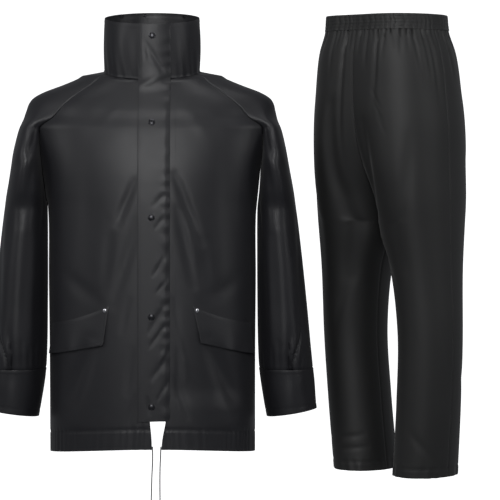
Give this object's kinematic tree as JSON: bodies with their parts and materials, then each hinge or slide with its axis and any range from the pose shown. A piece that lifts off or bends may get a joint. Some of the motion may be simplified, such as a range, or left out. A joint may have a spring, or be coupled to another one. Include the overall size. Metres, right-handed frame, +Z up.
{
  "type": "jacket and trousers set",
  "caption": "Rain jacket with stand collar, raglan sleeves, snapped storm flap and pocket flaps, and elastic-waist rain trousers, filled out as worn with no wearer.",
  "frame": {"origin": "middle of the jacket's neck seam, where the wearer's shoulders carry it", "axes": "+Z up, -Y the way the jacket faces, +X the wearer's left"},
  "size_m": [1.0556, 0.3295, 1.1664],
  "materials": {
    "jacket_shell": "soft sheen",
    "trouser_shell": "matt",
    "snap": "gloss",
    "rivet": "satin",
    "drawcord": "matt"
  },
  "bodies": {
    "root": {"jacket_front_right": "jacket_shell", "jacket_front_left": "jacket_shell", "jacket_back": "jacket_shell", "sleeve_right": "jacket_shell", "sleeve_left": "jacket_shell", "cuff_right": "jacket_shell", "cuff_left": "jacket_shell", "collar": "jacket_shell", "placket": "jacket_shell", "pocket_flap_right": "jacket_shell", "pocket_flap_left": "jacket_shell", "trousers_front_right": "trouser_shell", "trousers_front_left": "trouser_shell", "trousers_back_right": "trouser_shell", "trousers_back_left": "trouser_shell", "waistband": "trouser_shell", "snap_1": "snap", "snap_2": "snap", "snap_3": "snap", "snap_4": "snap", "snap_5": "snap", "flap_rivet_right": "rivet", "flap_rivet_left": "rivet", "drawcord_end_right": "drawcord", "drawcord_end_left": "drawcord", "drawcord_knot_right": "drawcord", "drawcord_knot_left": "drawcord"}
  },
  "joints": []
}
